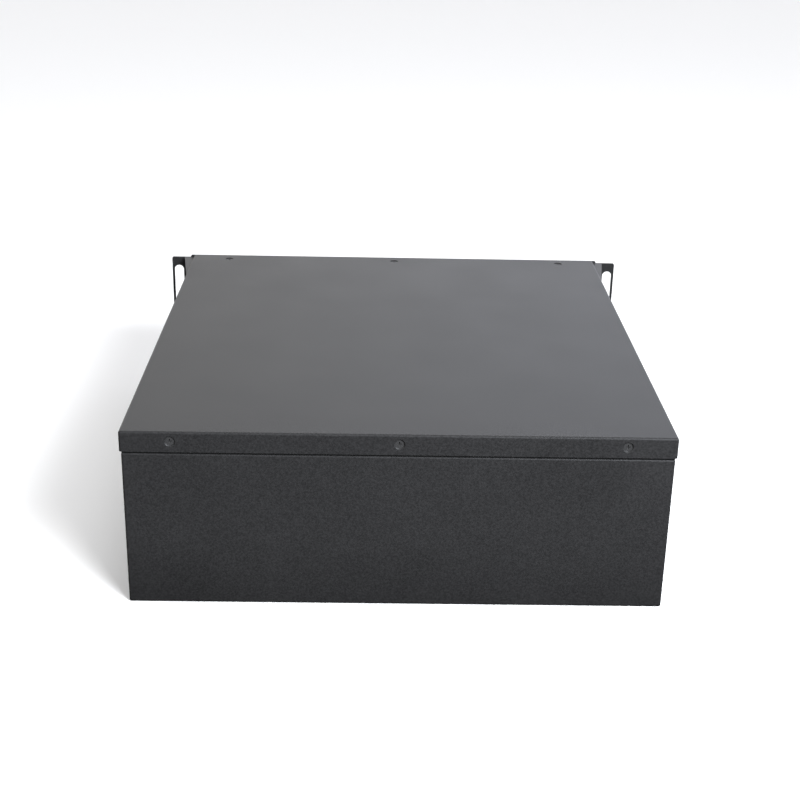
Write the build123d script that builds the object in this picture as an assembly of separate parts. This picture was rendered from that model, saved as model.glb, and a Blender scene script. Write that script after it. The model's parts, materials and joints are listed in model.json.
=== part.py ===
from build123d import *

import math
import os

os.makedirs("parts", exist_ok=True)

# Rack-mount lithium battery pack. Millimetres, +Z up, the front panel faces -Y.
# The origin is at the middle of the flat underside.

# ---- driving dimensions -------------------------------------------------------------------
BODY_WIDTH = 435.0  # outside of the top cover
BODY_DEPTH = 485.0  # front panel face to the cover's rear flange
BODY_HEIGHT = 150.0
SHEET = 1.2  # cover and tray sheet steel
BEND = 1.8  # outside bend radius of the sheet
FIT_GAP = 0.2  # between the cover's skirt and the tray
COVER_SKIRT = 17.0  # height of the cover's folded edge
COVER_SEAM = 1.5  # open line under the cover's skirt at the rear
RACK_WIDTH = 482.6  # 19-inch rack, outside of the ears
PANEL_WIDTH = 442.0
PANEL_THICK = 2.0
EAR_THICK = 2.0
EAR_LENGTH = 66.0  # side leg of a rack ear, front to back
EAR_LOW = 2.0
EAR_HIGH = 148.0
SLOT_X = 234.0
SLOT_RADIUS = 5.0
SLOT_LENGTH = 44.0
SLOT_ENDS = 11.0  # lowest point of the lower slot; the upper slot mirrors it
GUSSET_OUT = 227.6
GUSSET_LENGTH = 62.0
FLANGE = 14.0  # folded-in edges of the tray

# ---- planes worked out from them ----------------------------------------------------------
FRONT = -BODY_DEPTH / 2
REAR = BODY_DEPTH / 2
PANEL_BACK = FRONT + PANEL_THICK
COVER_FRONT = PANEL_BACK + FIT_GAP
COVER_X = BODY_WIDTH / 2
TRAY_X = COVER_X - SHEET - FIT_GAP
TRAY_REAR = REAR - SHEET - FIT_GAP
TRAY_TOP = BODY_HEIGHT - SHEET - FIT_GAP
WALL_X = TRAY_X - SHEET  # inner face of the tray's side walls
MID_HEIGHT = BODY_HEIGHT / 2
STEP_TOP = BODY_HEIGHT - COVER_SKIRT - COVER_SEAM  # the rear wall steps in here, behind the cover's skirt
STEP_BEND = 1.3

# ---- fasteners ----------------------------------------------------------------------------
DIMPLE_RADIUS = 4.35
COVER_HEAD_SINK = 0.9
COVER_HEAD_RADIUS = 3.45
M4 = 1.95
M5 = 2.45
COVER_SCREW_X = (-178.0, 0.0, 178.0)
COVER_TOP_SCREW_Y = FRONT + 15.0
COVER_REAR_SCREW_Z = BODY_HEIGHT - 8.0
PANEL_SIDE_SCREW_X = 208.0
PANEL_SIDE_SCREW_Z = (18.0, MID_HEIGHT, 132.0)
PANEL_MID_SCREW_X = (-115.0, 0.0, 115.0)
PANEL_MID_SCREW_Z = (7.5, 141.0)
EAR_SCREW_Y = (FRONT + 20.0, FRONT + 54.0)
EAR_SCREW_Z = (30.0, 120.0)

# ---- front controls -----------------------------------------------------------------------
OVERLAY = 0.25
OVERLAY_X = (-176.0, 22.0)
OVERLAY_Z = (18.0, 136.0)
SKIN = FRONT - OVERLAY
BOARD_FRONT = FRONT + 14.5
BOARD_THICK = 1.6
HANDLE_X = 190.0
HANDLE_SPAN = 100.0
HANDLE_RADIUS = 5.0
HANDLE_REACH = 38.0
DISPLAY = (-121.0, 107.0)
DISPLAY_SIZE = (84.0, 46.0)
WINDOW_SIZE = (66.0, 32.0)
BUTTONS = ((-62.0, 116.0), (-44.0, 116.0), (-62.0, 98.0), (-44.0, 98.0))
BUTTON_RADIUS = 2.95
BUTTON_TRAVEL = 1.0
ROCKER = (-8.0, 107.0)
ROCKER_PIVOT = FRONT + 0.5
ROCKER_RADIUS = 9.5
ROCKER_WIDTH = 15.0
ROCKER_TILT = 10.0
BREAKER = (59.0, 85.0)
BREAKER_WIDTH = 54.0
BREAKER_HEIGHT = 80.0
BREAKER_NOSE = 45.0
BREAKER_DEPTH = 70.0
TOGGLE_PIVOT = FRONT + 2.5
TOGGLE_DRUM = 6.5
TOGGLE_TILT = 32.0
POLES = (-13.5, 13.5)
TERMINAL_X = {"positive": 158.0, "negative": 118.0}
TERMINAL_Z = 88.0
TERMINAL_SIZE = (30.0, 46.0)
TERMINAL_PROUD = 8.0
STUD_RADIUS = 4.0
STUD_FREE = 15.0  # thread in front of the collar
STUD_COLLAR = 5.0
STUD_BURIED = 29.0  # from the face of the block to the stud's rear end
BLOCK_BACK = FRONT + 14.5
COVER_WALL = 2.0
HINGE_Y = FRONT - 5.0
HINGE_Z = TERMINAL_Z + TERMINAL_SIZE[1] / 2 + 5.5
HINGE_PIN = 1.2
PORTS_X = (-160.0, -140.0, -120.0, -100.0)
PORTS_Z = 36.0
PORT_SIZE = (16.0, 14.0)
PLUG_SIZE = (11.8, 8.4)
LEDS_X = (-160.0, -148.0, -136.0, -124.0, -112.0, -100.0)
LEDS_Z = 66.0
DIP = (-72.0, 36.0)
DIP_SIZE = (11.8, 8.4)
DIP_PITCH = 2.54
DIP_TRAVEL = 1.8
RESET = (-50.0, 36.0)
RESET_RADIUS = 2.2
DRY_CONTACT = (-20.0, 36.0)
DRY_CONTACT_SIZE = (25.0, 11.0)
DRY_CONTACT_PITCH = 3.81
GROUND = (59.0, 25.0)
GROUND_RADIUS = 3.0
GROUND_FREE = 14.0
GROUND_COLLAR = 3.0

# ---- cells and electronics ----------------------------------------------------------------
CELL = (50.0, 160.0, 118.5)
CELLS_IN_ROW = 8
SPACER = 0.8
ROW_DIVIDER = 4.0
PAD = 2.0
CELL_FLOOR = SHEET + PAD
CELL_TOP = CELL_FLOOR + CELL[2]
CELL_PITCH = CELL[0] + SPACER
PACK_X = CELLS_IN_ROW * CELL[0] / 2 + (CELLS_IN_ROW - 1) * SPACER / 2
PACK_REAR = TRAY_REAR - 7.0
ROW_Y = {
    "rear": PACK_REAR - CELL[1] / 2,
    "front": PACK_REAR - CELL[1] * 1.5 - ROW_DIVIDER,
}
PACK_FRONT = ROW_Y["front"] - CELL[1] / 2
POLE_OFFSET = 58.0  # cell pole to the middle of the cell, along Y
POST_HEIGHT = 3.0
POST_RADIUS = 8.0
CELL_STUD = 2.95
BUSBAR_THICK = 2.0
BUSBAR_WIDTH = 20.0
BUSBAR_TOP = CELL_TOP + POST_HEIGHT + BUSBAR_THICK
CELL_STUD_TOP = BUSBAR_TOP + 5.0
END_PLATE = 3.0
BAND = (0.8, 16.0)
BANDS_Z = (30.0, 90.0)
BMS_SINK_X = 150.0
BMS_TOP = 122.0
FUSE_TAB = 26.5
CABLE_RADIUS = 4.5

LEFT = (-1, 0, 0)
RIGHT = (1, 0, 0)
OUT = (0, -1, 0)  # out of the front panel
BACK = (0, 1, 0)
UP = (0, 0, 1)
DOWN = (0, 0, -1)
FROM_BASE = (Align.CENTER, Align.CENTER, Align.MIN)
FROM_TOP = (Align.CENTER, Align.CENTER, Align.MAX)


# ---- shared shapes ------------------------------------------------------------------------
def save(name, *shapes):
    """Writes one node, keeping each of its solids separate."""
    solids = [solid for shape in shapes for solid in shape.solids()]
    export_step(Compound(solids), f"parts/{name}.step")


def span(x, y, z):
    """A box given by its low and high value along each axis."""
    middle = Pos((x[0] + x[1]) / 2, (y[0] + y[1]) / 2, (z[0] + z[1]) / 2)
    return middle * Box(x[1] - x[0], y[1] - y[0], z[1] - z[0])


def about(middle, size):
    """Low and high value of a stretch of the given size about its middle."""
    return (middle - size / 2, middle + size / 2)


def rod(start, axis, radius, length):
    return Plane(origin=start, z_dir=axis) * Cylinder(radius, length, align=FROM_BASE)


def taper(start, axis, start_radius, end_radius, length):
    return Plane(origin=start, z_dir=axis) * Cone(start_radius, end_radius, length, align=FROM_BASE)


def ring(start, axis, outer, inner, length):
    return rod(start, axis, outer, length) - rod(start, axis, inner, length)


def hexagon(start, axis, across_flats, height):
    """A hexagonal bar standing on its start point, with its far edges broken."""
    outline = RegularPolygon(across_flats / math.sqrt(3), 6)
    body = Plane(origin=start, z_dir=axis) * extrude(outline, height)
    return chamfer(body.faces().sort_by(Axis(start, axis))[-1].edges(), 0.4)


def hex_nut(start, axis, across_flats, bore, height):
    return hexagon(start, axis, across_flats, height) - rod(start, axis, bore, height)


def flange_nut(start, axis, across_flats, bore, height):
    """A hexagon nut on its round flange."""
    flange = height * 0.22
    foot = ring(start, axis, across_flats * 0.72, bore, flange)
    above = tuple(s + a * flange for s, a in zip(start, axis))
    return foot + hex_nut(above, axis, across_flats, bore, height - flange)


def collared_stud(seat, radius, free, collar, across_flats, buried):
    """A stud through a panel: free thread in front, hexagonal collar on its seat, thread behind."""
    x, y, z = seat
    front = y - collar - free
    stud = rod((x, front, z), BACK, radius, free + collar + buried)
    stud = chamfer(stud.edges().sort_by(Axis.Y)[0], radius / 5)
    return stud + hexagon(seat, OUT, across_flats, collar)


def cross_recess(top, axis, width, blade, depth):
    """The cutter for a cross-head drive, reaching down from its top point."""
    arms = Box(width, blade, depth, align=FROM_TOP) + Box(blade, width, depth, align=FROM_TOP)
    arms &= Pos(0, 0, -depth) * Cone(width * 0.2, width * 0.52, depth, align=FROM_BASE)
    return Plane(origin=top, z_dir=axis) * arms


def sunk_screw(surface, axis, sink, shank, length, head_radius):
    """A countersunk cross-head screw whose flat head lies below a surface."""
    head_height = head_radius - shank
    top = tuple(s - a * sink for s, a in zip(surface, axis))
    down = tuple(-a for a in axis)
    screw = taper(top, down, head_radius - 0.03, shank - 0.03, head_height)
    screw += rod(top, down, shank - 0.03, length)
    return screw - cross_recess(top, axis, head_radius * 1.05, head_radius * 0.24, head_height * 0.8)


def pan_screw(seat, axis, shank, length, head_radius, head_height):
    """A pan-head cross-head screw with its head standing on its seat."""
    down = tuple(-a for a in axis)
    top = tuple(s + a * head_height for s, a in zip(seat, axis))
    head = rod(seat, axis, head_radius, head_height)
    head = fillet(head.edges().sort_by(Axis(seat, axis))[-1], head_height * 0.45)
    head -= cross_recess(top, axis, head_radius * 1.1, head_radius * 0.25, head_height * 0.7)
    return head + rod(seat, down, shank - 0.03, length)


def dimple(surface, axis):
    """Metal pressed down round a countersunk hole: what it adds and what it takes away."""
    down = tuple(-a for a in axis)
    floor = 2 * SHEET + FIT_GAP
    boss = taper(surface, down, DIMPLE_RADIUS + 1.4, DIMPLE_RADIUS - 1.3, floor)
    boss -= rod(surface, down, DIMPLE_RADIUS + 2, SHEET * 0.5)
    sink = taper(surface, down, DIMPLE_RADIUS, DIMPLE_RADIUS - 2.2, 2.2)
    sink += rod(surface, down, DIMPLE_RADIUS - 2.2, floor)
    return boss, sink


def folded_box(x, y, z, radius, base):
    """A box with its rear and side folds rounded, about its base or about its top."""
    box = span((-x, x), y, z)
    level = 0 if base else -1
    along_y = box.edges().filter_by(Axis.Y).group_by(Axis.Z)[level]
    along_x = box.edges().filter_by(Axis.X).group_by(Axis.Z)[level].sort_by(Axis.Y)[-1]
    upright = box.edges().filter_by(Axis.Z).group_by(Axis.Y)[-1]
    return fillet([*along_y, along_x, *upright], radius)


def plate(x, z, y, corner):
    """An upright plate with rounded corners, from its low and high x, z and y."""
    outline = RectangleRounded(x[1] - x[0], z[1] - z[0], corner)
    where = Plane(origin=((x[0] + x[1]) / 2, y[1], (z[0] + z[1]) / 2), x_dir=(1, 0, 0), z_dir=OUT)
    return where * extrude(outline, y[1] - y[0])


def tube(points, radius, bend):
    """A round bar or cable along straight runs joined by arcs."""
    path = FilletPolyline(*points, radius=bend)
    section = Plane(origin=path @ 0, z_dir=path % 0) * Circle(radius)
    return sweep(section, path=path)


# ---- sheet metal --------------------------------------------------------------------------
def ear_screw_seats():
    """Points on the outside of the ears' side legs, with the way out of each."""
    for side in (-1, 1):
        for y in EAR_SCREW_Y:
            for z in EAR_SCREW_Z:
                yield (side * (TRAY_X + EAR_THICK), y, z), (side, 0, 0)


def panel_screw_points():
    for x in (-PANEL_SIDE_SCREW_X, PANEL_SIDE_SCREW_X):
        for z in PANEL_SIDE_SCREW_Z:
            yield (x, FRONT, z)
    for x in PANEL_MID_SCREW_X:
        for z in PANEL_MID_SCREW_Z:
            yield (x, FRONT, z)


def cover_screw_points():
    for x in COVER_SCREW_X:
        yield (x, COVER_TOP_SCREW_Y, BODY_HEIGHT), UP
        yield (x, REAR, COVER_REAR_SCREW_Z), BACK


def case_tray():
    """Floor, side walls and rear wall in one folded sheet, with folded-in edges.

    The rear wall is flush with the cover's skirt and steps in behind it.
    """
    tray = folded_box(TRAY_X, (PANEL_BACK, REAR), (0, STEP_TOP), BEND, True)
    tray = fillet(tray.faces().sort_by(Axis.Z)[-1].edges().sort_by(Axis.Y)[-1], STEP_BEND)
    tray += folded_box(TRAY_X, (PANEL_BACK, TRAY_REAR), (0, TRAY_TOP), BEND, True)
    inner = (PANEL_BACK + SHEET, TRAY_REAR - SHEET)
    behind_step = (inner[0], REAR - SHEET)
    tray -= folded_box(WALL_X, inner, (SHEET, TRAY_TOP - SHEET), BEND - SHEET, True)
    tray -= folded_box(WALL_X, behind_step, (SHEET, STEP_TOP - SHEET), BEND - SHEET, True)
    mouth = WALL_X - FLANGE
    tray -= span((-mouth, mouth), (PANEL_BACK, inner[1] - FLANGE), (MID_HEIGHT, TRAY_TOP))
    tray -= span((-mouth, mouth), (PANEL_BACK, inner[0]), (FLANGE, TRAY_TOP))
    for seat, axis in ear_screw_seats():
        down = (-axis[0], 0, 0)
        tray -= rod(seat, down, M5 + 0.2, EAR_THICK + SHEET)
    for x in COVER_SCREW_X:
        tray -= rod((x, REAR, COVER_REAR_SCREW_Z), OUT, DIMPLE_RADIUS + 0.75, 2 * SHEET + FIT_GAP)
    for point in panel_screw_points():
        tray -= rod(point, BACK, M4 + 0.2, PANEL_THICK + SHEET)
    return tray


def top_cover():
    """Flat top with a folded skirt down the sides and the rear; the skirt stops short of the ears."""
    low = BODY_HEIGHT - COVER_SKIRT
    cover = folded_box(COVER_X, (COVER_FRONT, REAR), (low, BODY_HEIGHT), BEND, False)
    inner = (COVER_FRONT, REAR - SHEET)
    cover -= folded_box(COVER_X - SHEET, inner, (low, BODY_HEIGHT - SHEET), BEND - SHEET, False)
    notch = (COVER_FRONT, PANEL_BACK + EAR_LENGTH + 1.0)
    cover -= span((-COVER_X, COVER_X), notch, (low, BODY_HEIGHT - SHEET - 0.6))
    for point, axis in cover_screw_points():
        boss, sink = dimple(point, axis)
        cover = cover + boss - sink
    return cover


def front_top_rail():
    """The angle across the tray's open front, under the front edge of the cover."""
    length = WALL_X - FLANGE - 0.4
    depth = 22.0
    rail = span((-length, length), (PANEL_BACK, PANEL_BACK + depth), (132.0, TRAY_TOP))
    rail = fillet(rail.edges().filter_by(Axis.X).sort_by(lambda e: e.center().Y - e.center().Z)[0], 1.5)
    rail -= span((-length, length), (PANEL_BACK + SHEET, PANEL_BACK + depth), (132.0, TRAY_TOP - SHEET))
    for side in (-1, 1):
        tab = sorted((side * (length - 8.0), side * (WALL_X - 0.2)))
        level = (TRAY_TOP - 2 * SHEET, TRAY_TOP - SHEET)
        rail += span(tab, (PANEL_BACK + 3.0, PANEL_BACK + depth), level)
    for x in COVER_SCREW_X:
        rail -= rod((x, COVER_TOP_SCREW_Y, BODY_HEIGHT), DOWN, DIMPLE_RADIUS + 0.75, 2 * SHEET + FIT_GAP)
    for point in panel_screw_points():
        rail -= rod(point, BACK, M4 + 0.2, PANEL_THICK + SHEET)
    return rail


def rack_ear(side):
    """Folded angle with a slotted face, stiffened by a web at its top and bottom."""
    inside, outside = side * TRAY_X, side * (TRAY_X + EAR_THICK)
    face = sorted((inside, side * RACK_WIDTH / 2))
    ear = span(face, (PANEL_BACK, PANEL_BACK + EAR_THICK), (EAR_LOW, EAR_HIGH))
    outer = ear.edges().filter_by(Axis.Y).group_by(Axis.X)[-1 if side > 0 else 0]
    ear = fillet(outer, 2.0)
    leg = span(sorted((inside, outside)), (PANEL_BACK, PANEL_BACK + EAR_LENGTH), (EAR_LOW, EAR_HIGH))
    ear += fillet(leg.edges().filter_by(Axis.X).group_by(Axis.Y)[-1], 3.0)
    root = PANEL_BACK + EAR_THICK
    corners = ((outside, root), (side * GUSSET_OUT, root), (outside, root + GUSSET_LENGTH))
    web = extrude(make_face(Polyline(*corners, close=True)), EAR_THICK)
    ear += Pos(0, 0, EAR_LOW) * web
    ear += Pos(0, 0, EAR_HIGH - EAR_THICK) * web
    for low in (SLOT_ENDS, BODY_HEIGHT - SLOT_ENDS - SLOT_LENGTH):
        where = Plane(origin=(side * SLOT_X, PANEL_BACK, low + SLOT_LENGTH / 2), x_dir=UP, z_dir=BACK)
        ear -= where * extrude(SlotOverall(SLOT_LENGTH, 2 * SLOT_RADIUS), EAR_THICK)
    for seat, axis in ear_screw_seats():
        ear -= rod(seat, (-axis[0], 0, 0), M5 + 0.2, EAR_THICK)
    return ear


def fasten_sheet_metal():
    """Every screw and nut that holds the sheet-metal parts together."""
    save("ear_screws", *(pan_screw(seat, axis, M5, 10.0, 4.6, 3.0) for seat, axis in ear_screw_seats()))
    save("front_panel_screws", *(sunk_screw(p, OUT, 0.1, M4, 9.0, 3.75) for p in panel_screw_points()))
    screws = [
        sunk_screw(point, axis, COVER_HEAD_SINK, M4, 9.0, COVER_HEAD_RADIUS)
        for point, axis in cover_screw_points()
    ]
    save("cover_screws", *screws)
    nuts = [
        ring((side * WALL_X, y, z), (-side, 0, 0), 4.7, M5, 3.0)
        for side in (-1, 1)
        for y in EAR_SCREW_Y
        for z in EAR_SCREW_Z
    ]
    nuts += [ring((x, PANEL_BACK + SHEET, z), BACK, 3.9, M4, 2.6) for x, _, z in panel_screw_points()]
    save("press_nuts", *nuts)
    plates = []
    for x in COVER_SCREW_X:
        under = TRAY_TOP - SHEET
        strip = span(about(x, 24.0), about(COVER_TOP_SCREW_Y, 12.0), (under - 2.0, under))
        plates.append(strip - rod((x, COVER_TOP_SCREW_Y, under), DOWN, M4, 2.0))
        behind = TRAY_REAR - SHEET
        strip = span(about(x, 24.0), (behind - 2.0, behind), about(COVER_REAR_SCREW_Z, 10.0))
        plates.append(strip - rod((x, behind, COVER_REAR_SCREW_Z), OUT, M4, 2.0))
    save("cover_nut_plates", *plates)


# ---- front panel --------------------------------------------------------------------------
def centred(place, size, y, corner=0.6, grow=0.0):
    """A rounded plate about a place on the front panel."""
    return plate(about(place[0], size[0] + grow), about(place[1], size[1] + grow), y, corner)


def control_holes(y):
    """Everything that the panel and its overlay both leave open."""
    holes = [centred(DISPLAY, (DISPLAY_SIZE[0] - 8, DISPLAY_SIZE[1] - 8), y, 1.0)]
    holes += [span(about(x, PORT_SIZE[0] + 0.4), y, about(PORTS_Z, PORT_SIZE[1] + 0.4)) for x in PORTS_X]
    holes.append(centred(DIP, DIP_SIZE, y, 0.5, 0.6))
    holes.append(centred(DRY_CONTACT, DRY_CONTACT_SIZE, y, 0.5, 0.6))
    holes.append(centred(ROCKER, (19.0, 25.0), y, 1.0))
    start, length = y[0], y[1] - y[0]
    holes += [rod((x, start, z), BACK, BUTTON_RADIUS + 0.3, length) for x, z in BUTTONS]
    holes.append(rod((RESET[0], start, RESET[1]), BACK, RESET_RADIUS + 0.3, length))
    holes += [rod((x, start, LEDS_Z), BACK, 1.7, length) for x in LEDS_X]
    return holes


def front_panel():
    depth = (FRONT, PANEL_BACK)
    panel = plate((-PANEL_WIDTH / 2, PANEL_WIDTH / 2), (0.2, BODY_HEIGHT - 0.2), depth, 1.5)
    panel = chamfer(panel.faces().sort_by(Axis.Y)[0].edges(), 0.3)
    for hole in control_holes(depth):
        panel -= hole
    panel -= centred(BREAKER, (BREAKER_WIDTH, BREAKER_NOSE), depth, 0.8, 0.4)
    for x in TERMINAL_X.values():
        panel -= centred((x, TERMINAL_Z), (22.0, 30.0), depth, 2.0, 0.4)
    panel -= rod((GROUND[0], FRONT, GROUND[1]), BACK, GROUND_RADIUS, PANEL_THICK)
    for point in panel_screw_points():
        panel -= taper(point, BACK, 3.85, 2.15, 1.7)
        panel -= rod(point, BACK, M4 + 0.2, PANEL_THICK)
    for x in (-HANDLE_X, HANDLE_X):
        for z in about(MID_HEIGHT, HANDLE_SPAN):
            panel -= rod((x, FRONT, z), BACK, M5 + 0.2, PANEL_THICK)
    return panel


def panel_overlay():
    """The printed plastic film over the control half of the panel."""
    depth = (SKIN, FRONT)
    film = plate(OVERLAY_X, OVERLAY_Z, depth, 3.0)
    for hole in control_holes(depth):
        film -= hole
    return film


def pull_handle(x):
    """A round bar bent square, on two turned feet."""
    low, high = about(MID_HEIGHT, HANDLE_SPAN)
    reach = FRONT - HANDLE_REACH + HANDLE_RADIUS
    corners = ((x, FRONT, low), (x, reach, low), (x, reach, high), (x, FRONT, high))
    handle = tube(corners, HANDLE_RADIUS, 12.0)
    for z in (low, high):
        foot = rod((x, FRONT, z), OUT, 8.0, 3.0)
        handle += fillet(foot.edges().sort_by(Axis.Y)[0], 1.2)
    for z in (low, high):
        handle -= rod((x, FRONT, z), OUT, M5, 12.0)
    return handle


def handles():
    save("pull_handle_left", pull_handle(-HANDLE_X))
    save("pull_handle_right", pull_handle(HANDLE_X))
    screws = []
    for x in (-HANDLE_X, HANDLE_X):
        for z in about(MID_HEIGHT, HANDLE_SPAN):
            screws.append(pan_screw((x, PANEL_BACK, z), BACK, M5, 12.0, 4.6, 3.0))
    save("handle_screws", *screws)


def display():
    """Bezel, clear window, screen module and four push buttons."""
    bezel = centred(DISPLAY, DISPLAY_SIZE, (SKIN - 2.4, SKIN), 3.0)
    bezel = fillet(bezel.faces().sort_by(Axis.Y)[0].edges(), 1.2)
    bezel += centred(DISPLAY, (DISPLAY_SIZE[0] - 8.4, DISPLAY_SIZE[1] - 8.4), (SKIN, PANEL_BACK + 3.0), 1.0)
    bezel -= centred(DISPLAY, WINDOW_SIZE, (SKIN - 2.4, PANEL_BACK + 3.0), 1.0)
    pocket = (SKIN - 1.0, PANEL_BACK + 3.0)
    bezel -= centred(DISPLAY, (WINDOW_SIZE[0] + 4, WINDOW_SIZE[1] + 4), pocket, 1.0)
    save("display_bezel", bezel)
    lens = centred(DISPLAY, (WINDOW_SIZE[0] + 3.8, WINDOW_SIZE[1] + 3.8), (SKIN - 1.0, SKIN + 0.2), 1.0)
    save("display_lens", lens)
    glass = centred(DISPLAY, (WINDOW_SIZE[0] + 2, WINDOW_SIZE[1] + 2), (SKIN + 0.4, PANEL_BACK + 2.0), 0.5)
    back = centred(DISPLAY, (78.0, 40.0), (PANEL_BACK + 3.4, PANEL_BACK + 5.0), 0.5)
    spacer = centred(DISPLAY, (60.0, 26.0), (PANEL_BACK + 2.0, PANEL_BACK + 3.4), 0.5)
    save("display_module", glass + spacer + back)
    for number, (x, z) in enumerate(BUTTONS, 1):
        save(f"display_button_{number}", push_button(x, z, BUTTON_RADIUS, 1.4, 5.5))


def push_button(x, z, radius, proud, depth):
    """A cap with a retaining collar behind the panel."""
    button = rod((x, SKIN - proud, z), BACK, radius, proud + OVERLAY + depth)
    button = fillet(button.edges().sort_by(Axis.Y)[0], 0.5)
    return button + rod((x, PANEL_BACK + 0.3, z), BACK, radius + 0.9, 1.0)


def network_port(x):
    """A socket for a modular plug, with the latch notch at its top."""
    body = span(about(x, PORT_SIZE[0]), (SKIN - 0.6, BOARD_FRONT), about(PORTS_Z, PORT_SIZE[1]))
    front = body.faces().sort_by(Axis.Y)[0].edges()
    body = chamfer(front, 0.3)
    mouth = (SKIN - 0.6, SKIN - 0.6 + 12.5)
    low = PORTS_Z - PLUG_SIZE[1] / 2 - 0.9
    body -= span(about(x, PLUG_SIZE[0]), mouth, (low, low + PLUG_SIZE[1]))
    body -= span(about(x, 6.2), mouth, (low + PLUG_SIZE[1], low + PLUG_SIZE[1] + 1.7))
    body -= span(about(x, 3.6), mouth, (low + PLUG_SIZE[1] + 1.7, low + PLUG_SIZE[1] + 2.9))
    return body


def board_connectors():
    """What stands on the interface board and shows through the panel."""
    save("network_ports", *(network_port(x) for x in PORTS_X))
    lamps = []
    for x in LEDS_X:
        lamp = rod((x, SKIN - 0.2, LEDS_Z), BACK, 1.5, BOARD_FRONT - SKIN + 0.2)
        lamp += Pos(x, SKIN - 0.2, LEDS_Z) * Sphere(1.5)
        lamps.append(lamp + rod((x, BOARD_FRONT - 1, LEDS_Z), BACK, 1.9, 1))
    save("status_leds", *lamps)
    save("dry_contact_block", dry_contact_block())
    save("reset_button", push_button(*RESET, RESET_RADIUS, 0.5, 5.5))


def dry_contact_block():
    """A six-way screw terminal with its wire entries facing out."""
    body = centred(DRY_CONTACT, DRY_CONTACT_SIZE, (SKIN - 5.0, BOARD_FRONT), 0.4)
    body -= span(about(DRY_CONTACT[0], DRY_CONTACT_SIZE[0]), (SKIN - 5.0, SKIN - 2.6), (39.6, 42.0))
    for number in range(6):
        x = DRY_CONTACT[0] + (number - 2.5) * DRY_CONTACT_PITCH
        body -= span(about(x, 2.6), (SKIN - 5.0, SKIN + 2.0), (32.2, 35.2))
        body -= rod((x, SKIN - 2.6, 37.6), BACK, 1.2, 4.0)
    return body


def dip_switch():
    """A four-way slide switch for the pack's address."""
    face = FRONT + 0.7
    body = centred(DIP, DIP_SIZE, (face, BOARD_FRONT), 0.3)
    for number in range(4):
        x = DIP[0] + (number - 1.5) * DIP_PITCH
        body -= span(about(x, 1.4), (face, face + 2.0), about(DIP[1], DIP_TRAVEL + 1.7))
        knob = span(about(x, 0.9), (face - 0.6, face + 1.7), about(DIP[1] - DIP_TRAVEL / 2, 1.1))
        save(f"dip_slider_{number + 1}", knob)
    save("dip_switch_body", body)


def power_switch():
    """A rocker switch: flanged body, and the rocker on its own two trunnions."""
    x, z = ROCKER
    body = centred(ROCKER, (22.0, 29.0), (SKIN - 2.0, SKIN), 2.0)
    body = fillet(body.faces().sort_by(Axis.Y)[0].edges(), 0.8)
    body += centred(ROCKER, (18.6, 24.6), (SKIN, FRONT + 26.0), 1.0)
    body -= span(about(x, ROCKER_WIDTH + 0.6), (SKIN - 2.0, FRONT + 12.0), about(z, 2 * ROCKER_RADIUS + 0.6))
    trunnion = (x - ROCKER_WIDTH / 2 - 1.0, ROCKER_PIVOT, z)
    body -= rod(trunnion, RIGHT, 1.26, ROCKER_WIDTH + 2.0)
    for offset in (-5.0, 5.0):
        body += span(about(x, 6.3), (FRONT + 26.0, FRONT + 34.0), about(z + offset, 0.8))
    save("power_switch_body", body)

    left = (x - ROCKER_WIDTH / 2, ROCKER_PIVOT, z)
    drum = rod(left, RIGHT, ROCKER_RADIUS, ROCKER_WIDTH)
    half = ROCKER_RADIUS + 1.0
    outline = ((5.0, -half), (2.8, -5.5), (2.2, 0.0), (2.8, 5.5), (5.0, half), (-5.0, half), (-5.0, -half))
    points = [(x - ROCKER_WIDTH / 2, ROCKER_PIVOT - out, z + up) for out, up in outline]
    profile = extrude(make_face(Polyline(*points, close=True)), ROCKER_WIDTH, dir=RIGHT)
    rocker = drum & profile
    rocker += rod((trunnion[0] + 0.1, ROCKER_PIVOT, z), RIGHT, 1.2, ROCKER_WIDTH + 1.8)
    save("power_switch_rocker", rocker.rotate(Axis((x, ROCKER_PIVOT, z), RIGHT), ROCKER_TILT))


def circuit_breaker():
    """A two-pole breaker: moulded body, and the linked toggle on its drums."""
    x, z = BREAKER
    depth = (PANEL_BACK + 0.3, PANEL_BACK + BREAKER_DEPTH)
    body = span(about(x, BREAKER_WIDTH), depth, about(z, BREAKER_HEIGHT))
    body = fillet(body.edges().filter_by(Axis.X), 2.0)
    nose = centred(BREAKER, (BREAKER_WIDTH, BREAKER_NOSE), (FRONT - 1.5, PANEL_BACK + 10.0), 1.2)
    body += chamfer(nose.faces().sort_by(Axis.Y)[0].edges(), 0.8)
    body -= span(about(x, 0.8), (FRONT - 1.5, FRONT - 0.9), about(z, BREAKER_NOSE))
    toggle = Part()
    for pole in POLES:
        slot = span(about(x + pole, 13.0), (FRONT - 1.5, TOGGLE_PIVOT + TOGGLE_DRUM + 1.0), about(z, 13.6))
        body -= slot
        start = (x + pole - 7.5, TOGGLE_PIVOT, z)
        body -= rod(start, RIGHT, 1.56, 15.0)
        toggle += rod((x + pole - 6.0, TOGGLE_PIVOT, z), RIGHT, TOGGLE_DRUM, 12.0)
        toggle += rod((x + pole - 7.4, TOGGLE_PIVOT, z), RIGHT, 1.5, 14.8)
        lever = span(about(x + pole, 9.0), (TOGGLE_PIVOT - 14.0, TOGGLE_PIVOT), about(z, 4.0))
        toggle += fillet(lever.edges().filter_by(Axis.X).group_by(Axis.Y)[0], 1.2)
    bar = span(about(x, 36.0), (TOGGLE_PIVOT - 16.0, TOGGLE_PIVOT - 11.0), about(z, 5.0))
    toggle += fillet(bar.edges(), 1.2)
    save("breaker_body", body)
    save("breaker_toggle", toggle.rotate(Axis((x, TOGGLE_PIVOT, z), RIGHT), TOGGLE_TILT))


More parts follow.
